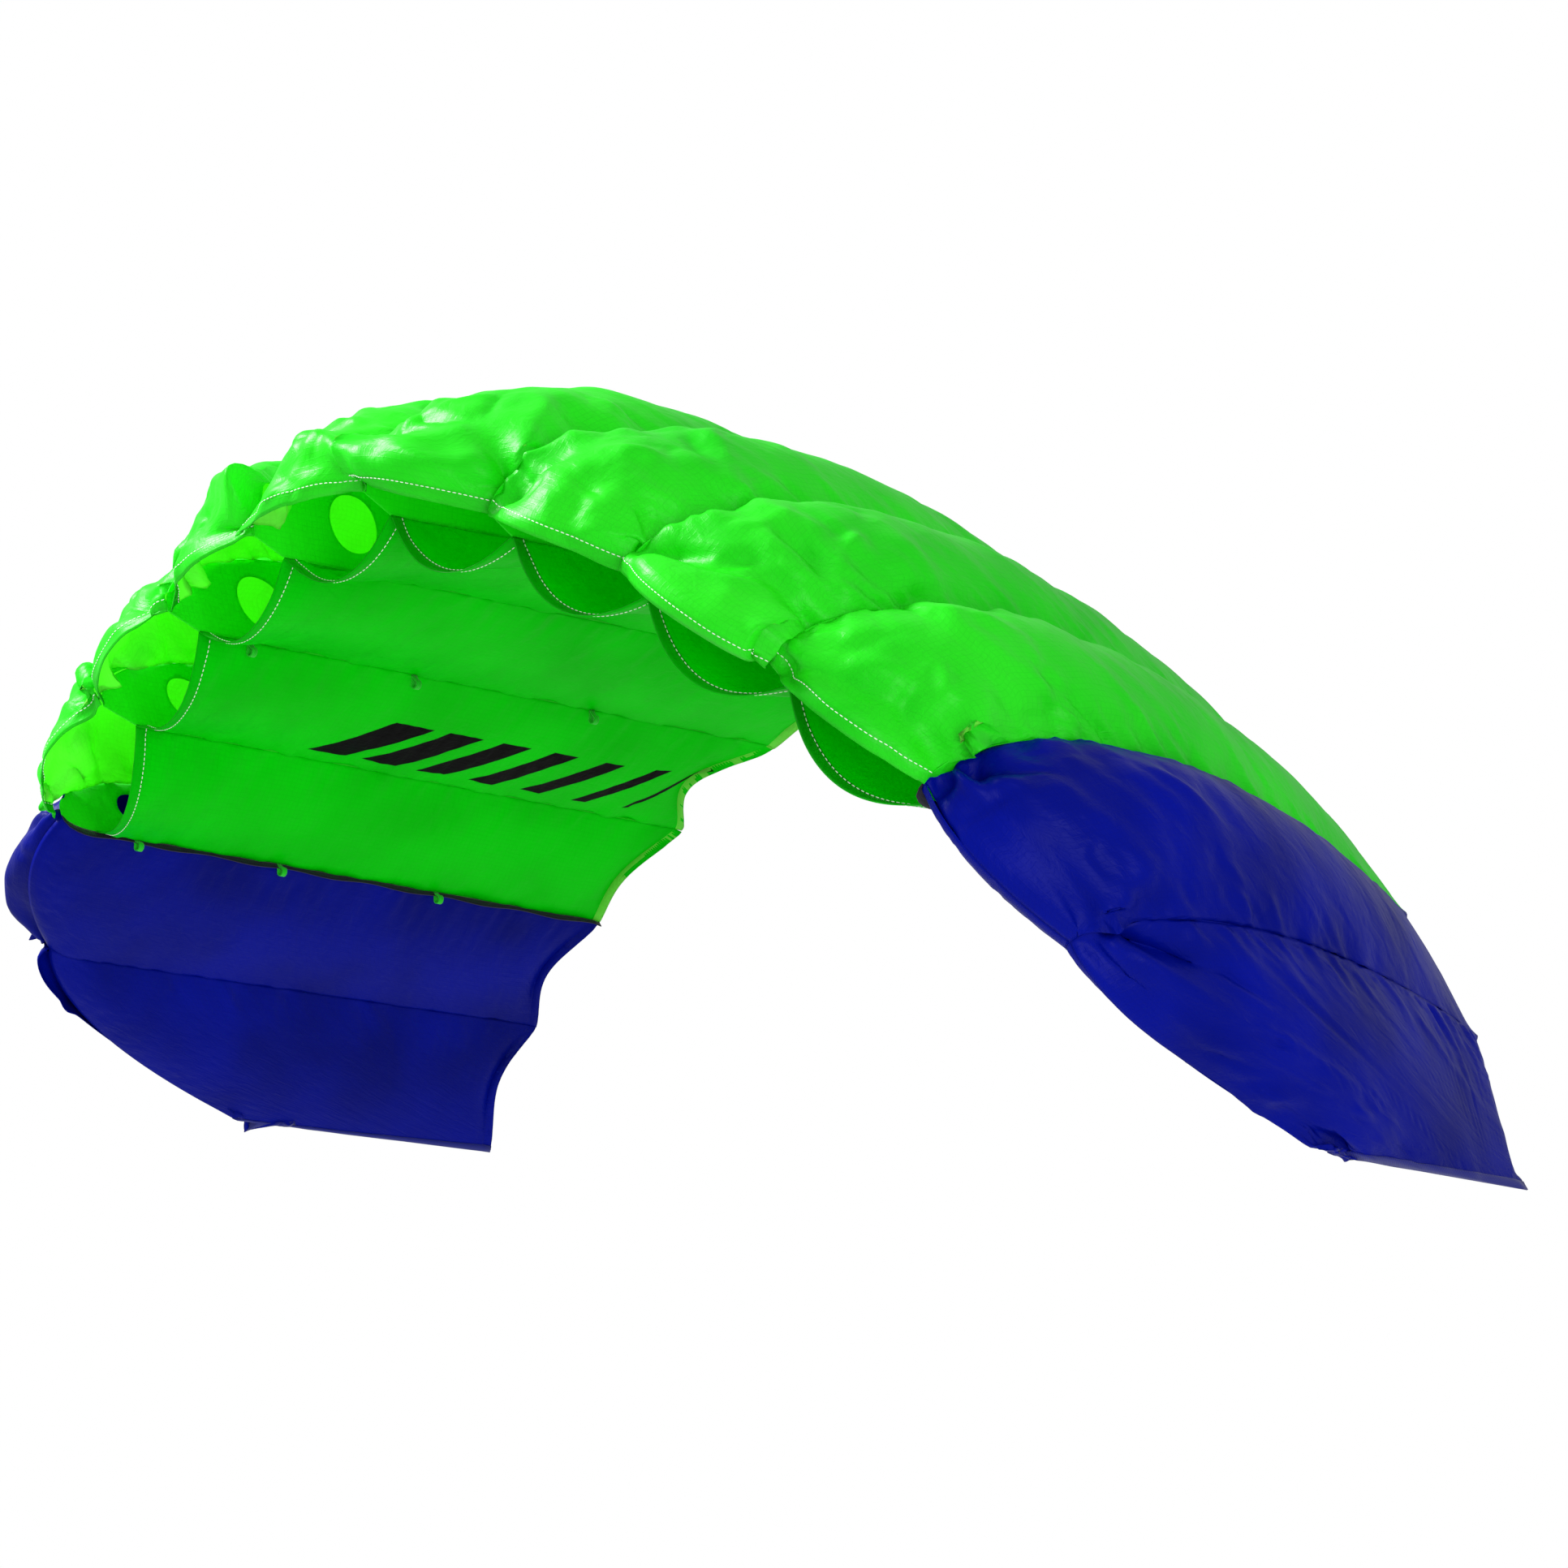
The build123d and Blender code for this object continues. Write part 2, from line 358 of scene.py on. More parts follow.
def refine(grid):       # twice as fine each way, on a smooth curve through the old points
    for axis in (0, 1):
        g = np.moveaxis(grid, axis, 0)
        padded = np.concatenate((2 * g[:1] - g[1:2], g, 2 * g[-1:] - g[-2:-1]))
        middle = (9 * (padded[1:-2] + padded[2:-1]) - padded[:-3] - padded[3:]) / 16
        both = np.empty((2 * len(g) - 1,) + g.shape[1:])
        both[::2], both[1::2] = g, middle
        grid = np.moveaxis(both, 0, axis)
    return grid


def flatPattern(points):        # the cloth laid flat: across from the inner seam, along from the first row
    across = np.moveaxis(arcLengths(np.moveaxis(points, 1, 0)), 0, 1)
    along = arcLengths(points)
    return np.stack((across, along), axis=2)


def gridPiece(name, points, flat, side, *materials):
    if side == "left":
        points = points[:, ::-1] * (-1, 1, 1)
        flat = flat[:, ::-1]
    rows, columns = points.shape[:2]
    shape = bmesh.new()
    bmesh.ops.create_grid(shape, x_segments=columns - 1, y_segments=rows - 1, size=1)
    for vertex, place in zip(shape.verts, points.reshape(-1, 3)):
        vertex.co = place
    piece = pieceFrom(shape, name, *materials)
    layer = piece.data.uv_layers.new(name="cut")
    corner = np.zeros(len(piece.data.loops), int)
    piece.data.loops.foreach_get("vertex_index", corner)
    layer.data.foreach_set("uv", flat.reshape(-1, 2)[corner].astype(np.float32).ravel())
    return piece


def thicken(piece, thickness, offset=0.0):
    solid = piece.modifiers.new("thickness", "SOLIDIFY")
    solid.thickness = thickness
    solid.offset = offset
    solid.use_even_offset = False
    return solid


def rideCell(piece, cell):        # cell 1 rides with the centre body; other cells' pieces are only baked where they stand
    if cell == 1:
        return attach(piece, "centre")
    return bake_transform(piece)


# Materials

nylon = {
    "threadPitch": 0.0008,      # real threads lie 0.1 mm apart; drawn coarser so that they show
    "ripstopPitch": 0.005,      # a heavier thread every 5 mm each way
    "crumple": 0.016,           # soft dents left by folding
}


def waveScale(pitch):           # a wave texture repeats every 2 pi / 20 at scale 1
    return 2 * math.pi / 20 / pitch


def ripstopNylon(name, cloth, shade, glow, through, gleam, dye=None):
    # Coated ripstop nylon, plain weave: the heavy threads show as a faint grid, the coating gives a
    # satin gleam on every crease, and light comes through it tinted
    m = newMaterial(name)
    uv = addNode(m, "ShaderNodeTexCoord").outputs["UV"]
    spot = addNode(m, "ShaderNodeTexCoord").outputs["Object"]
    pitch = waveScale(nylon["ripstopPitch"])
    lines = [addNode(m, "ShaderNodeTexWave", {"bands_direction": way, "Scale": pitch}, {"Vector": uv})
             for way in ("X", "Y")]
    cross = addNode(m, "ShaderNodeMath", {"operation": "MAXIMUM"},
                    {0: lines[0].outputs["Fac"], 1: lines[1].outputs["Fac"]})
    thick = addNode(m, "ShaderNodeMapRange", {"From Min": 0.88, "From Max": 1.0}, {"Value": cross.outputs[0]})
    threads = addNode(m, "ShaderNodeTexNoise", {"Scale": 1 / nylon["threadPitch"], "Detail": 1.0},
                      {"Vector": uv})
    crumple = addNode(m, "ShaderNodeTexNoise",
                      {"Scale": 1 / nylon["crumple"], "Detail": 4.0, "Distortion": 0.7}, {"Vector": uv})
    wide = addNode(m, "ShaderNodeTexNoise", {"Scale": 9.0, "Detail": 2.0}, {"Vector": spot})
    tone = addNode(m, "ShaderNodeMapRange", {"From Min": 0.35, "From Max": 0.7},
                   {"Value": wide.outputs["Fac"]})
    dyed = addNode(m, "ShaderNodeMix", {"data_type": "RGBA", 6: linearColour(cloth), 7: linearColour(shade)},
                   {0: tone.outputs[0]})
    gridShare = addNode(m, "ShaderNodeMath", {"operation": "MULTIPLY", 1: 0.16}, {0: thick.outputs[0]})
    woven = addNode(m, "ShaderNodeMix", {"data_type": "RGBA", 7: linearColour(shade)},
                    {0: gridShare.outputs[0], 6: dyed.outputs[2]})
    colour = woven.outputs[2]
    passing = addNode(m, "ShaderNodeMix",
                      {"data_type": "RGBA", 7: linearColour(shade), 6: linearColour(glow)},
                      {0: gridShare.outputs[0]})
    lit = passing.outputs[2]
    if dye:
        colour, lit = (addNode(m, "ShaderNodeMix", {"data_type": "RGBA", 7: linearColour(dye)},
                               {0: printMask(m, uv), 6: under}).outputs[2] for under in (colour, lit))
    folds = addNode(m, "ShaderNodeBump", {"Strength": 0.55, "Distance": 0.002},
                    {"Height": crumple.outputs["Fac"]})
    grid = addNode(m, "ShaderNodeBump", {"Strength": 0.3, "Distance": 0.0002},
                   {"Height": thick.outputs[0], "Normal": folds.outputs[0]})
    fine = addNode(m, "ShaderNodeBump", {"Strength": 0.2, "Distance": 0.0001},
                   {"Height": threads.outputs["Fac"], "Normal": grid.outputs[0]})
    rough = addNode(m, "ShaderNodeMapRange", {"To Min": 0.30, "To Max": 0.48},
                    {"Value": crumple.outputs["Fac"]})
    front = addNode(m, "ShaderNodeBsdfPrincipled", {"IOR": 1.5, "Specular IOR Level": gleam},
                    {"Base Color": colour, "Roughness": rough.outputs[0], "Normal": fine.outputs[0]})
    back = addNode(m, "ShaderNodeBsdfTranslucent", {}, {"Color": lit, "Normal": fine.outputs[0]})
    both = addNode(m, "ShaderNodeMixShader", {0: through}, {1: front.outputs[0], 2: back.outputs[0]})
    addNode(m, "ShaderNodeOutputMaterial", {}, {"Surface": both.outputs[0]})
    return m


bars = {                        # a plain pattern of slanted bars, screen printed
    "from": 0.300, "to": 0.690,         # along the chord, from the lip
    "low": 0.058, "high": 0.122,        # across the panel
    "pitch": 0.062,
    "slant": 1.1,
}


def printMask(m, uv):
    parts = addNode(m, "ShaderNodeSeparateXYZ", {}, {"Vector": uv})
    across, along = parts.outputs["X"], parts.outputs["Y"]
    leaning = addNode(m, "ShaderNodeMath", {"operation": "MULTIPLY_ADD", 1: bars["slant"]},
                      {0: across, 2: along})
    turns = addNode(m, "ShaderNodeMath", {"operation": "DIVIDE", 1: bars["pitch"]}, {0: leaning.outputs[0]})
    turn = addNode(m, "ShaderNodeMath", {"operation": "FRACT"}, {0: turns.outputs[0]})
    fill = addNode(m, "ShaderNodeMapRange", {"From Min": bars["from"], "From Max": bars["to"],
                                             "To Min": 0.78, "To Max": 0.22}, {"Value": leaning.outputs[0]})
    tests = [("LESS_THAN", turn.outputs[0], fill.outputs[0]), ("GREATER_THAN", across, bars["low"]),
             ("LESS_THAN", across, bars["high"]), ("GREATER_THAN", leaning.outputs[0], bars["from"]),
             ("LESS_THAN", leaning.outputs[0], bars["to"])]
    mask = None
    for operation, value, limit in tests:
        fixed = {1: limit} if isinstance(limit, float) else {}
        linked = {0: value} if fixed else {0: value, 1: limit}
        test = addNode(m, "ShaderNodeMath", {"operation": operation, **fixed}, linked).outputs[0]
        mask = test if mask is None else addNode(m, "ShaderNodeMath", {"operation": "MULTIPLY"},
                                                 {0: mask, 1: test}).outputs[0]
    return mask


def wovenTape(name, cloth, shade, ribPitch):
    # Polyester tape woven with ribs across its width: matt, with a fine corduroy
    m = newMaterial(name)
    uv = addNode(m, "ShaderNodeTexCoord").outputs["Object"]
    rib = addNode(m, "ShaderNodeTexWave", {"Scale": waveScale(ribPitch), "Distortion": 0.4,
                                           "bands_direction": "DIAGONAL"}, {"Vector": uv})
    colour = addNode(m, "ShaderNodeMix",
                     {"data_type": "RGBA", 6: linearColour(shade), 7: linearColour(cloth)},
                     {0: rib.outputs["Fac"]})
    bump = addNode(m, "ShaderNodeBump", {"Strength": 0.5, "Distance": 0.0002}, {"Height": rib.outputs["Fac"]})
    tape = addNode(m, "ShaderNodeBsdfPrincipled", {"Roughness": 0.7, "Specular IOR Level": 0.25,
                                                   "Sheen Weight": 0.1},
                   {"Base Color": colour.outputs[2], "Normal": bump.outputs[0]})
    addNode(m, "ShaderNodeOutputMaterial", {}, {"Surface": tape.outputs[0]})
    return m


def polyesterThread(name, cloth):
    # Spun polyester sewing thread: matt white, a little fuzzy
    m = newMaterial(name)
    spot = addNode(m, "ShaderNodeTexCoord").outputs["Object"]
    twist = addNode(m, "ShaderNodeTexNoise", {"Scale": 2500.0}, {"Vector": spot})
    bump = addNode(m, "ShaderNodeBump", {"Strength": 0.4, "Distance": 0.0001},
                   {"Height": twist.outputs["Fac"]})
    matt = addNode(m, "ShaderNodeBsdfPrincipled", {"Base Color": linearColour(cloth), "Roughness": 0.8,
                                                   "Sheen Weight": 0.3}, {"Normal": bump.outputs[0]})
    addNode(m, "ShaderNodeOutputMaterial", {}, {"Surface": matt.outputs[0]})
    return m


# The same green nylon twice: the top skins' copy is painted lighter (painted light from above), the lower
# skins' copy darker (painted shade)
greenNylonPaintedLight = ripstopNylon("greenRipstopPaintedLight", "30F024", "1CD818", "60FF30", 0.45, 0.22)
lowerNylonPaintedShade = ripstopNylon("greenRipstopLowerPaintedShade", "00D408", "00BE04", "0CF008", 0.35, 0.03)
blueNylon = ripstopNylon("blueRipstopNylon", "000F94", "000A74", "0014AC", 0.2, 0.06)
# the print sits on the lower skins' darker green, which is painted shade; the black bars are real print
printedNylonPaintedShade = ripstopNylon("printedRipstopPaintedShade", "00D408", "00BE04", "0CF008", 0.35, 0.03, "010201")
# the folded hem is the same green nylon given a darker colour: painted shade along the inside of the lip
greenHemPaintedShade = ripstopNylon("greenFoldedHemPaintedShade", "04B40A", "039C07", "20D812", 0.25, 0.22)
# inside face of the top skin in a paler green: painted light coming through the skin
insideNylonPaintedLight = ripstopNylon("greenNylonInsidePaintedLight", "80F050", "6CE040", "B0FF60", 0.45, 0.10)
# near-black tape colour: painted shadow along the seam between the green and blue lower skins
seamTapePaintedShadow = wovenTape("navySeamTapePaintedShadow", "000220", "000118", 0.0012)
loopTape = wovenTape("greenWovenTape", "08C814", "05A40E", 0.0012)
blueTape = wovenTape("blueWovenTape", "000E80", "000860", 0.0012)
whiteThread = polyesterThread("whitePolyesterThread", "EAF6E6")


def clothOf(kind, side, cell):
    # top skins get the green painted lighter, lower skins the green painted darker: painted light and shade
    # on one nylon
    if (kind, side, cell) == ("bottom", "left", 3):
        return printedNylonPaintedShade
    return (greenNylonPaintedLight if kind == "top" else lowerNylonPaintedShade) if isOpen(cell) else blueNylon


# The canopy: the cloth is cut a little long, puckered, and let settle under the air pressure

settle = {
    "gather": 1.06,             # cut length over the rib's
    "ease": 1.02,               # cut width over the ballooned width
    "pressure": 15.0,
    "start": 1.3,               # strength of the puckers before and after the cloth settles
    "finish": 0.55,
    "closed": 0.7,              # share of it in the closed tip cells
    "steps": 10,
    "ribRoom": 0.0008,          # half a skin and half a rib
}


def cutPattern(tube):
    across = arcLengths(tube.swapaxes(0, 1)).swapaxes(0, 1) * settle["ease"]
    arc = arcLengths(tube)
    arc = arc - arc[weave["topRows"]]
    s = np.linspace(0, 1, tube.shape[1])[None]
    along = (arc[:, :1] * (1 - s) + arc[:, -1:] * s) * settle["gather"]
    return np.stack((across, along, np.zeros_like(along)), axis=2)


slack = {                   # how far the trailing edge draws forward where a cell hangs slack
    ("left", 3): 0.034, ("left", 4): 0.006, ("left", 5): 0.014, ("left", 6): 0.010, ("right", 5): 0.008,
    "reach": 0.070,             # and how deep into the cell that shows
}


def drawTail(tube, side, cell):
    s = np.linspace(0, 1, tube.shape[1])
    tail = tube[weave["topRows"]]
    forward = np.array((0, -1, 0)) * slack.get((side, cell), 0.0)
    gap = np.abs(tube[..., 1] - tail[None, :, 1])
    return tube + (np.exp(-(gap / slack["reach"]) ** 2) * np.sin(math.pi * s) ** 1.5)[..., None] * forward


def betweenRibs(grid, cell):        # a cell's cloth stays on its own side of both ribs
    for place, way in ((cell - 1, 1), (cell, -1)):
        origin, _, _, outward = sectionAxes(place)
        gap = (grid[:, 1:-1] - origin) @ outward * way
        grid[:, 1:-1] += np.maximum(0, settle["ribRoom"] - gap)[..., None] * outward * way
    return grid


def puckered(tube, split, key, seed, strength):      # still at the trailing seam
    side, cell = key
    rng = np.random.default_rng(seed + 10 * cell + (1 if side == "left" else 0))
    strength *= 1.0 if isOpen(cell) else settle["closed"]
    rise = np.zeros(tube.shape[:2])
    rise[:split + 1] += seamRelief(flatPattern(tube[:split + 1]), rng, strength, True)
    rise[split:] += seamRelief(flatPattern(tube[split:][::-1]), rng, 0.45 * strength, False)[::-1]
    fade = np.minimum(1, np.abs(np.arange(len(tube)) - split) / 4)
    return betweenRibs(tube + unitNormals(tube) * (rise * fade[:, None])[..., None], cell)


def startShape(tube, side, cell):
    return puckered(tube, weave["topRows"], (side, cell), 1000, settle["start"])


def settled(tubes):
    print("settling the cloth of", len(tubes), "cells")
    shape = bmesh.new()
    for tube in tubes.values():
        bmesh.ops.create_grid(shape, x_segments=tube.shape[1] - 1, y_segments=tube.shape[0] - 1, size=1)
    start = np.concatenate([startShape(tube, *key).reshape(-1, 3) for key, tube in tubes.items()])
    for vertex, place in zip(shape.verts, start):
        vertex.co = place
    cloth = pieceFrom(shape, "cutCloth")
    cloth.shape_key_add(name="sewn")
    cut = cloth.shape_key_add(name="cut")
    cut.data.foreach_set("co", np.concatenate(
        [cutPattern(tube).reshape(-1, 3) for tube in tubes.values()]).astype(np.float32).ravel())
    held = []
    for tube in tubes.values():
        fixed = np.zeros(tube.shape[:2], bool)
        fixed[:, [0, -1]] = fixed[[0, -1]] = True
        held.append(fixed.ravel())
    group = cloth.vertex_groups.new(name="seams")
    group.add(np.nonzero(np.concatenate(held))[0].tolist(), 1.0, "REPLACE")
    solver = cloth.modifiers.new("cloth", "CLOTH")
    for name, value in {"mass": 0.002, "tension_stiffness": 15, "compression_stiffness": 15,
                        "shear_stiffness": 3, "bending_stiffness": 0.3, "vertex_group_mass": "seams",
                        "rest_shape_key": cut, "use_pressure": True, "use_pressure_volume": True,
                        "target_volume": 0.0, "uniform_pressure_force": settle["pressure"]}.items():
        setattr(solver.settings, name, value)
    solver.settings.effector_weights.gravity = 0
    solver.collision_settings.use_collision = False
    for step in range(1, settle["steps"] + 1):
        bpy.context.scene.frame_set(step)
    mesh = cloth.evaluated_get(bpy.context.evaluated_depsgraph_get()).data
    places = np.zeros(len(mesh.vertices) * 3, np.float32)
    mesh.vertices.foreach_get("co", places)
    bpy.data.objects.remove(cloth)
    bpy.context.scene.frame_set(1)
    done, at = {}, 0
    for key, tube in tubes.items():
        size = tube.size
        done[key] = places[at:at + size].reshape(tube.shape).astype(float)
        at += size
    return done


tubes = {(side, cell): drawTail(cellCloth(cell), side, cell)
         for side in ("right", "left") for cell in range(1, cells + 1)}
tubes = settled(tubes)


def skinGrids(tube, side, cell):    # top and bottom panel, each from its front edge to its sewn flange
    split = 2 * weave["topRows"]
    fine = puckered(refine(tube), split, (side, cell), 2000, settle["finish"])
    top, bottom = fine[:split + 1], fine[split:][::-1]
    tail = top[-1] - top[-5]
    tail = tail / np.linalg.norm(tail, axis=1, keepdims=True)
    flange = [top[-1] + tail * section["flange"] * step / weave["flangeRows"]
              for step in range(1, weave["flangeRows"] + 1)]
    return {kind: np.concatenate((grid, flange)) for kind, grid in (("top", top), ("bottom", bottom))}


def ribName(side, rib):
    return f"rib_{side}_{rib}" if rib else "rib_centre"


canopy, skins = {}, {}
for (side, cell), tube in tubes.items():
    for kind, grid in skinGrids(tube, side, cell).items():
        flat = flatPattern(grid)
        skins[kind, side, cell] = grid, flat
        turned = (grid, flat) if kind == "top" else (grid[::-1], flat[::-1])
        # open top skins get the paler inside green on their inner face: painted light
        sides = [clothOf(kind, side, cell)] + ([insideNylonPaintedLight] if kind == "top" and isOpen(cell) else [])
        piece = gridPiece(f"{kind}_skin_{side}_{cell}", *turned, side, *sides)
        thicken(piece, section["skin"]).material_offset = len(sides) - 1
        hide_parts(f"{kind}_panel_{side}_{cell}")
        rideCell(piece, cell)
        canopy[kind, side, cell] = piece
print("canopy cut and sewn:", len(canopy), "panels")


# Mouth hems: the front edges are folded back on the inside and sewn down with white thread

hem = {
    "width": 0.012,
    "thick": 0.0006,
    "rows": 4,
    "stitchAt": 0.0105,         # from the folded edge
    "stitchPitch": 0.0042,
    "stitchLength": 0.0032,
    "thread": 0.0008,           # sewing thread is 0.3 mm thick; drawn coarser so that it shows
}


def rowAt(grid, distance):      # the line across the cloth that lies this far from its front edge
    arc = arcLengths(grid)
    return np.array([[np.interp(distance, arc[:, c], grid[:, c, k]) for k in range(3)]
                     for c in range(grid.shape[1])])


def hemGrid(grid, inward):
    rows = [rowAt(grid, hem["width"] * step / hem["rows"]) for step in range(hem["rows"] + 1)]
    band = np.stack(rows)
    return band + unitNormals(band) * inward * (section["skin"] + hem["thick"]) / 2


def stitchRow(shape, line, normal, lift):
    arc = arcLengths(line)
    count = int(arc[-1] / hem["stitchPitch"])
    for number in range(count):
        spot = (number + 0.5) * arc[-1] / count
        ends = [np.array([np.interp(spot + half * hem["stitchLength"] / 2, arc, line[:, k])
                          for k in range(3)]) for half in (-1, 1)]
        out = normal[int(np.argmin(np.abs(arc - spot)))]
        run = Vector(ends[1] - ends[0])
        turn = run.to_track_quat("Z", "Y").to_matrix().to_4x4()
        size = Matrix.Diagonal((hem["thread"] / 2, hem["thread"] / 2, run.length / 2, 1))
        bmesh.ops.create_uvsphere(shape, u_segments=6, v_segments=4, radius=1, matrix=Matrix.Translation(
            Vector((ends[0] + ends[1]) / 2 + out * lift)) @ turn @ size)


def mirrored(points, side):
    return points * (-1, 1, 1) if side == "left" else points


for side in ("right", "left"):
    for cell in range(1, wing["openCells"] + 1):
        stitches = bmesh.new()
        bands = []
        for kind, out in (("top", 1), ("bottom", -1)):
            grid, flat = skins[kind, side, cell]
            band = hemGrid(grid, -out)
            turned = band if kind == "top" else band[::-1]
            # hem bands in the darker green: painted shade inside the lip
            bands.append(gridPiece(f"hem_{kind}_{side}_{cell}", turned, flatPattern(turned), side, greenHemPaintedShade))
            line = rowAt(grid, hem["stitchAt"])
            near = rowAt(grid, hem["stitchAt"] - 0.003)
            normal = np.cross(np.gradient(line, axis=0), line - near)
            normal = normal / np.linalg.norm(normal, axis=1, keepdims=True) * out
            outer = section["skin"] / 2 + hem["thread"] / 4
            for lift in (outer, -outer - hem["thick"]):
                stitchRow(stitches, mirrored(line, side), mirrored(normal, side), lift)
        for band in bands:
            thicken(band, hem["thick"])
            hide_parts(f"mouth_hem_{side}_{cell}")
            rideCell(band, cell)
        threads = pieceFrom(stitches, f"hem_stitching_{side}_{cell}", whiteThread)
        rideCell(threads, cell)
print("mouth hems folded and stitched")


# Ribs: cloth between the two skins, with round crossports cut out and their rims drawn onto circles

ribCut = {
    "ports": (0.15, 0.32, 0.50),        # share of the chord
    "portShare": 0.30,                  # radius over the rib's depth there
    "step": 0.003,
    "layers": 22,
    "wave": 0.0008,
    "wavePitch": 0.045,
}


def clothName(side, rib):
    return f"rib_cloth_{side}_{rib}" if rib else "rib_cloth_centre"


def ribEdges(rib, along):
    fine = np.linspace(0, 1, 800) ** 2
    topAlong, topLevel = topLine(rib, fine)
    lowAlong, lowLevel = bottomLine(rib, fine, rib < wing["openCells"])
    if rib < wing["openCells"]:         # the rib's front edge slants across the mouth
        lowAlong, lowLevel = np.concatenate(([0], lowAlong)), np.concatenate(([0], lowLevel))
    return np.interp(along, lowAlong, lowLevel), np.interp(along, topAlong, topLevel)


def ribPiece(side, rib):
    length = chordAt(rib)
    along = np.linspace(0, 1, int(length / ribCut["step"]) + 1) ** 1.15 * length
    low, high = ribEdges(rib, along)
    share = np.linspace(0, 1, ribCut["layers"] + 1)
    level = low[:, None] + (high - low)[:, None] * share
    origin, aft, over, outward = sectionAxes(rib)
    ripple = np.sin(2 * math.pi * along / ribCut["wavePitch"])[:, None] * np.sin(math.pi * share)
    wave = ribCut["wave"] * ripple
    across = along[:, None] + 0 * share
    flat = np.stack((level - level.min(), across), axis=2)
    points = origin + across[..., None] * aft + level[..., None] * over + wave[..., None] * outward
    piece = gridPiece(clothName(side, rib), points, flat, side, ribNylon(rib))
    shape = bmesh.new()
    shape.from_mesh(piece.data)
    gone = []
    for face in shape.faces:
        spot = np.array(face.calc_center_median()) * ((-1, 1, 1) if side == "left" else (1, 1, 1)) - origin
        a, l = float(spot @ aft), float(spot @ over)
        for place in ribCut["ports"]:
            lowAt, highAt = ribEdges(rib, place * length)
            radius = ribCut["portShare"] * (highAt - lowAt)
            if math.hypot(a - place * length, l - (lowAt + highAt) / 2) < radius:
                gone.append(face)
                break
    bmesh.ops.delete(shape, geom=gone, context="FACES")
    flip = np.array((-1, 1, 1)) if side == "left" else 1
    for vertex in (v for v in shape.verts if v.is_boundary):    # the rims are drawn onto their circles
        spot = np.array(vertex.co) * flip - origin
        for place in ribCut["ports"]:
            lowAt, highAt = ribEdges(rib, place * length)
            centre = aft * place * length + over * (lowAt + highAt) / 2
            radius = ribCut["portShare"] * (highAt - lowAt)
            gap = np.linalg.norm(spot - centre)
            if gap < radius * 1.5:
                vertex.co = (origin + centre + (spot - centre) * radius / gap) * flip
    shape.to_mesh(piece.data)
    shape.free()
    thicken(piece, section["rib"])
    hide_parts(ribName(side, rib))
    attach(piece, "centre" if rib < 2 else f"{side}_cell_{rib}")
    return piece


def ribNylon(rib):
    return greenNylonPaintedLight if rib <= wing["openCells"] else blueNylon


ribs = [ribPiece("right", 0)] + [ribPiece(side, rib) for side in ("right", "left") for rib in range(1, cells)]
print("ribs cut:", len(ribs))


for (kind, side, cell), piece in canopy.items():
    extras = [bpy.data.objects[f"hem_{kind}_{side}_{cell}"]] if isOpen(cell) else []
    if kind == "top" and isOpen(cell):
        extras.append(bpy.data.objects[f"hem_stitching_{side}_{cell}"])


# The seam between the two colours: a strip for the folded seam allowance stands below the lower skin,
# coloured near black as painted shadow along the seam

seam = {
    "depth": 0.0062,
    "wave": 0.0016,
    "wavePitch": 0.090,
    "thick": 0.0009,
}
for side in ("right", "left"):
    line = skins["bottom", side, wing["openCells"] + 1][0][::2, 0]
    _, _, over, _ = sectionAxes(wing["openCells"])
    along = arcLengths(line)
    depth = seam["depth"] + seam["wave"] * np.sin(2 * math.pi * along / seam["wavePitch"])
    share = np.linspace(0, 1, 4)
    points = line[:, None] - over * (depth[:, None] * share)[..., None]
    piece = gridPiece(f"seam_shadow_strip_{side}", points, flatPattern(points), side, seamTapePaintedShadow)
    thicken(piece, seam["thick"])
    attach(piece, f"{side}_cell_{wing['openCells']}")


# Bridle loops: tape folded into a loop and caught in the lower seam of every second rib

loop = {
    "ribs": (0, 2, 4),
    "places": (0.12, 0.38, 0.68),       # share of the chord
    "bore": 0.003,
    "wall": 0.0012,
    "width": 0.005,
    "stem": 0.005,
    "steps": 24,
}


def loopPiece(side, rib, places, name, node):
    shape = bmesh.new()
    origin, aft, over, outward = sectionAxes(rib)
    middleWall = loop["bore"] + loop["wall"] / 2
    for place in places:
        along = place * chordAt(rib)
        seam = float(ribEdges(rib, along)[0]) - section["skin"]
        centre = seam - loop["stem"] - loop["bore"] - loop["wall"]
        angles = np.radians(np.linspace(125, 415, loop["steps"] + 1))
        path = [(-section["rib"] / 2, seam), (-section["rib"] / 2 - 0.0003, centre + middleWall + 0.0022)]
        path += [(math.cos(a) * middleWall, centre + math.sin(a) * middleWall) for a in angles]
        path += [(-path[1][0], path[1][1]), (-path[0][0], path[0][1])]
        made = bmesh.ops.create_grid(shape, x_segments=4, y_segments=len(path) - 1, size=1)["verts"]
        for number, vertex in enumerate(made):
            row, column = divmod(number, 5)
            off, level = path[row]
            vertex.co = mirrored(origin + aft * (along + loop["width"] * (column / 4 - 0.5)) + over * level
                                 + outward * off, side)
    bmesh.ops.recalc_face_normals(shape, faces=shape.faces)
    piece = pieceFrom(shape, name, loopTape)
    thicken(piece, loop["wall"])
    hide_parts(node)
    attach(piece, "centre" if rib < 2 else f"{side}_cell_{rib}")


for side, rib in [("right", 0)] + [(side, rib) for side in ("right", "left") for rib in loop["ribs"][1:]]:
    tag = f"{side}_{rib}" if rib else "centre"
    loopPiece(side, rib, loop["places"][:1], f"tape_loop_front_{tag}", f"bridle_loop_front_{tag}")
    loopPiece(side, rib, loop["places"][1:], f"tape_loops_rear_{tag}", f"bridle_loops_rear_{tag}")
print("bridle loops sewn in")


# Tip binding: tape folded over the edge where the two skins of the tip cell come together

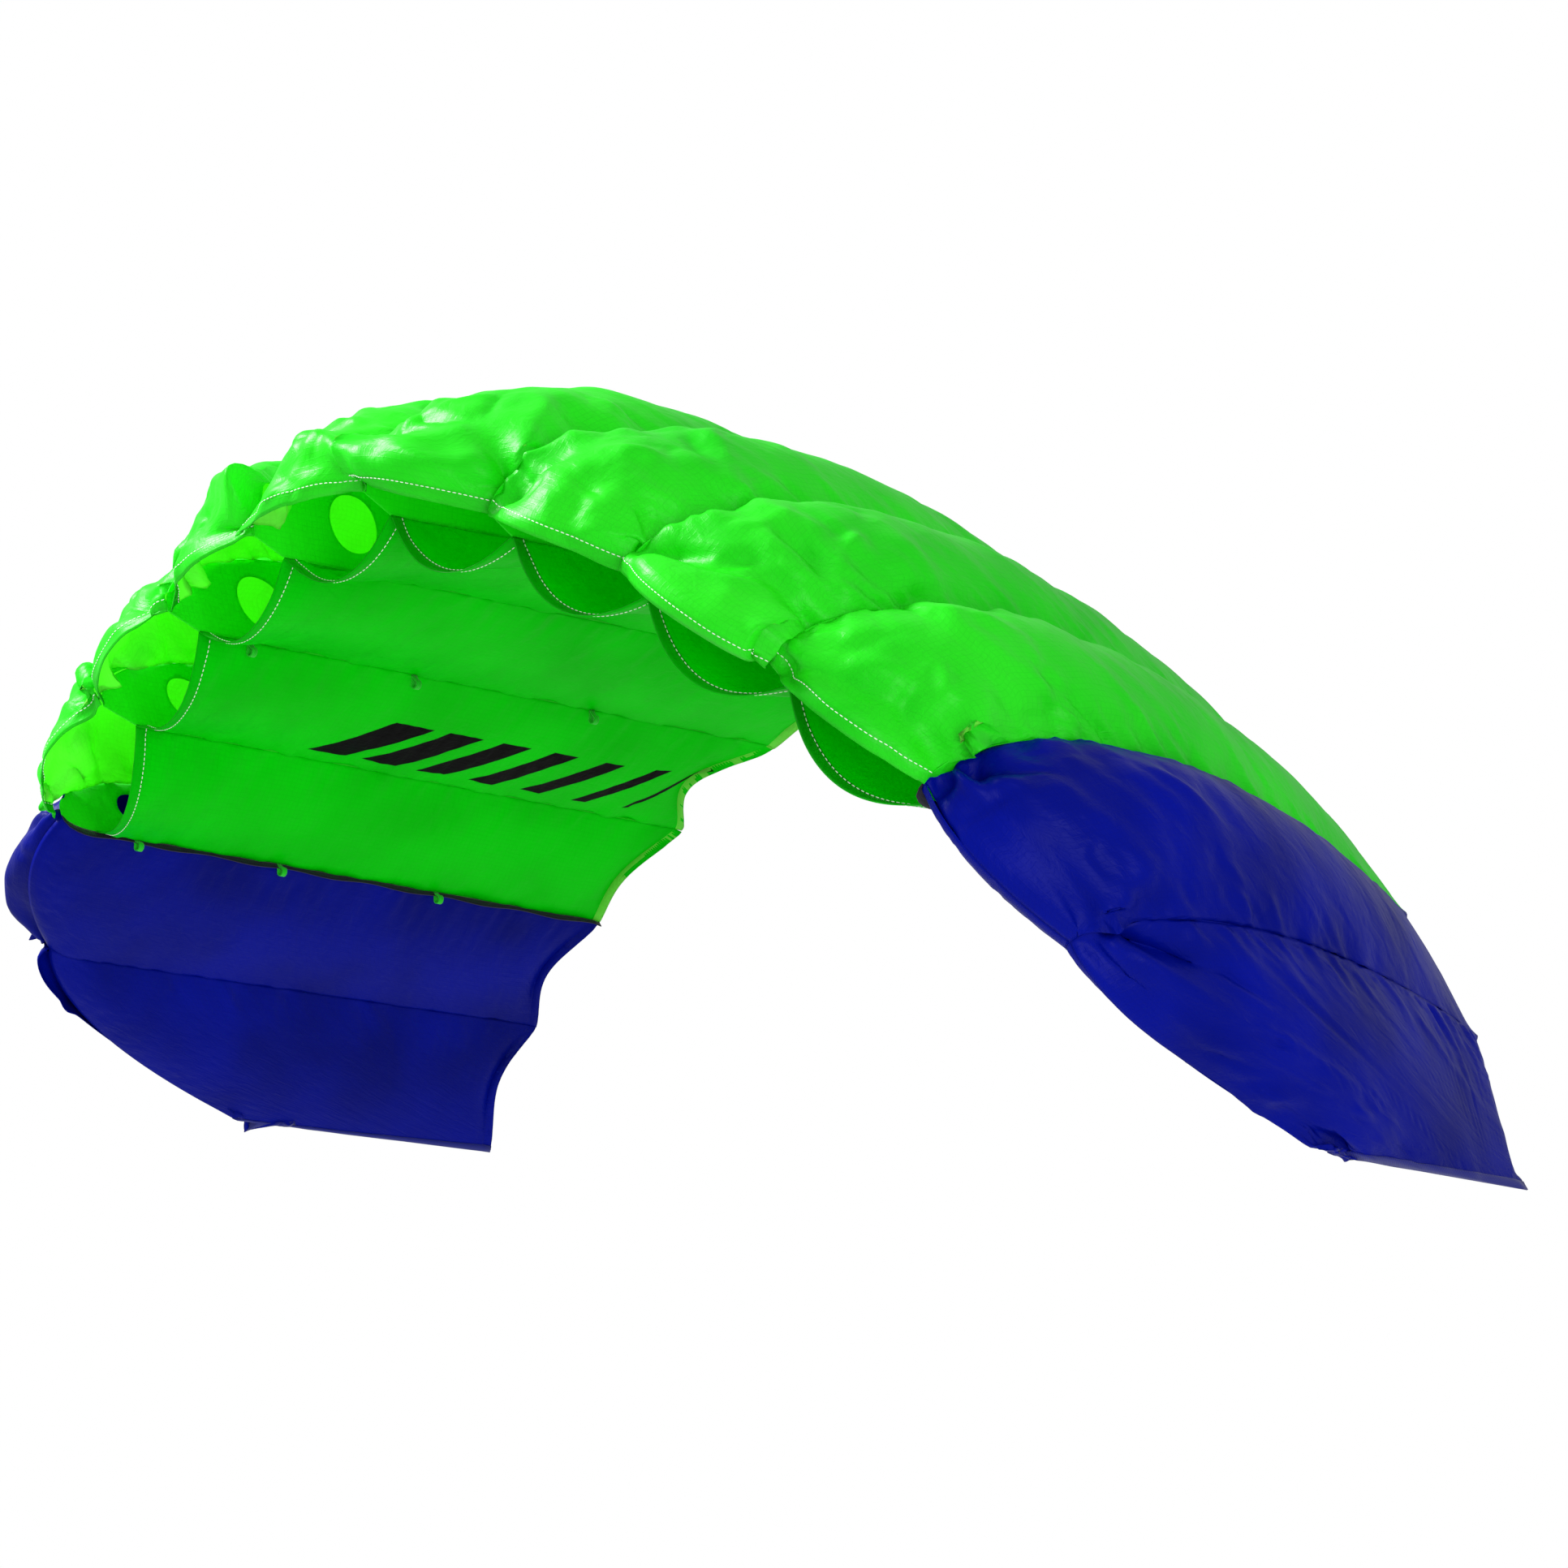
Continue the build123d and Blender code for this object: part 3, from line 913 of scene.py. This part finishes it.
binding = {
    "width": 0.007,
    "lift": 0.0006,
    "rows": 60,
}
for side in ("right", "left"):
    edges = []
    for kind, out in (("top", 1), ("bottom", -1)):
        grid, _ = skins[kind, side, cells]
        arc = arcLengths(grid.swapaxes(0, 1)[::-1]).swapaxes(0, 1)
        reaches = (binding["width"], binding["width"] / 2, 0)
        lines = [np.array([[np.interp(reach, arc[r], grid[r, ::-1, k]) for k in range(3)]
                           for r in range(grid.shape[0])]) for reach in reaches]
        normal = unitNormals(grid)[:, -2] * out
        lift = (binding["lift"], binding["lift"], binding["lift"] * 0.6)
        edges += [line + normal * rise for line, rise in zip(lines, lift)][::out]
    even = np.linspace(0, 1, binding["rows"] + 1)
    columns = [np.stack([np.interp(even, np.linspace(0, 1, len(line)), line[:, k]) for k in range(3)], axis=1)
               for line in edges]
    points = np.stack(columns, axis=1)
    piece = gridPiece(f"tip_tape_{side}", points, flatPattern(points), side, blueTape)
    thicken(piece, 0.0007)
    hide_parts(f"tip_binding_{side}")
    rideCell(piece, cells)
print("tips bound")


# Room, light and camera

def softLight(name, place, size, watts, aim):
    lamp = bpy.data.lights.new(name, "AREA")
    lamp.size = size
    lamp.energy = watts
    holder = bpy.data.objects.new(name, lamp)
    bpy.context.scene.collection.objects.link(holder)
    holder.location = place
    holder.rotation_euler = (Vector(place) - aim).to_track_quat("Z", "Y").to_euler()


studio = {
    "lamps": {                  # place from the middle of the kite, width in metres, watts
        "keyLight": ((-2.2, -1.4, 2.2), 1.0, 210),
        "sideLight": ((2.8, -1.6, -0.2), 1.6, 40),
    },
    "floorDrop": 2.6,           # the kite flies this far above the floor
    "floorRadius": 14.0,
    "floorColour": "F4F4F2",
    "roomLight": 0.70,          # what the white backdrop gives the kite
}
middle = (cadBox[0] + cadBox[1]) / 2
for name, (place, size, watts) in studio["lamps"].items():
    softLight(name, middle + Vector(place), size, watts, middle)

shape = bmesh.new()
bmesh.ops.create_circle(shape, cap_ends=True, radius=studio["floorRadius"], segments=96)
bmesh.ops.translate(shape, verts=shape.verts,
                    vec=(middle.x, middle.y, cadBox[0].z - studio["floorDrop"]))
paleFloor = newMaterial("paleFloor")
matt = addNode(paleFloor, "ShaderNodeBsdfPrincipled",
               {"Base Color": linearColour(studio["floorColour"]), "Roughness": 0.9})
addNode(paleFloor, "ShaderNodeOutputMaterial", {}, {"Surface": matt.outputs[0]})
floor = pieceFrom(shape, "floor", paleFloor)

world = bpy.data.worlds.new("studio")
world.use_nodes = True
backdrop = world.node_tree.nodes["Background"]      # pure white where it is seen, softer where it lights
backdrop.inputs["Color"].default_value = (1, 1, 1, 1)
rays = addNode(world, "ShaderNodeLightPath")
strength = addNode(world, "ShaderNodeMapRange", {"To Min": studio["roomLight"]},
                   {"Value": rays.outputs["Is Camera Ray"]})
world.node_tree.links.new(strength.outputs[0], backdrop.inputs["Strength"])
bpy.context.scene.world = world
bpy.context.scene.view_settings.view_transform = "Standard"

shot = {
    "azimuth": 44.62,           # degrees to the left of straight along the chord
    "rise": 5.99,               # the camera looks a little upwards
    "roll": -3.62,
    "distance": 3.995,
    "aim": (0.0665, 0.064, 0.008),      # from the middle of the frame's box
    "lens": 111.8,
}
turn, rise, roll = (math.radians(shot[k]) for k in ("azimuth", "rise", "roll"))
forward = Vector((-math.sin(turn) * math.cos(rise), math.cos(turn) * math.cos(rise), math.sin(rise)))
upright = (Vector((0, 0, 1)) - forward * forward.z).normalized()
up = upright * math.cos(roll) + forward.cross(upright) * math.sin(roll)
camera = bpy.data.objects.new("camera", bpy.data.cameras.new("camera"))
bpy.context.scene.collection.objects.link(camera)
camera.data.lens = shot["lens"]
camera.matrix_world = Matrix.Translation(middle + Vector(shot["aim"]) - forward * shot["distance"]) @ Matrix(
    (forward.cross(up), up, -forward)).transposed().to_4x4()
bpy.context.scene.camera = camera
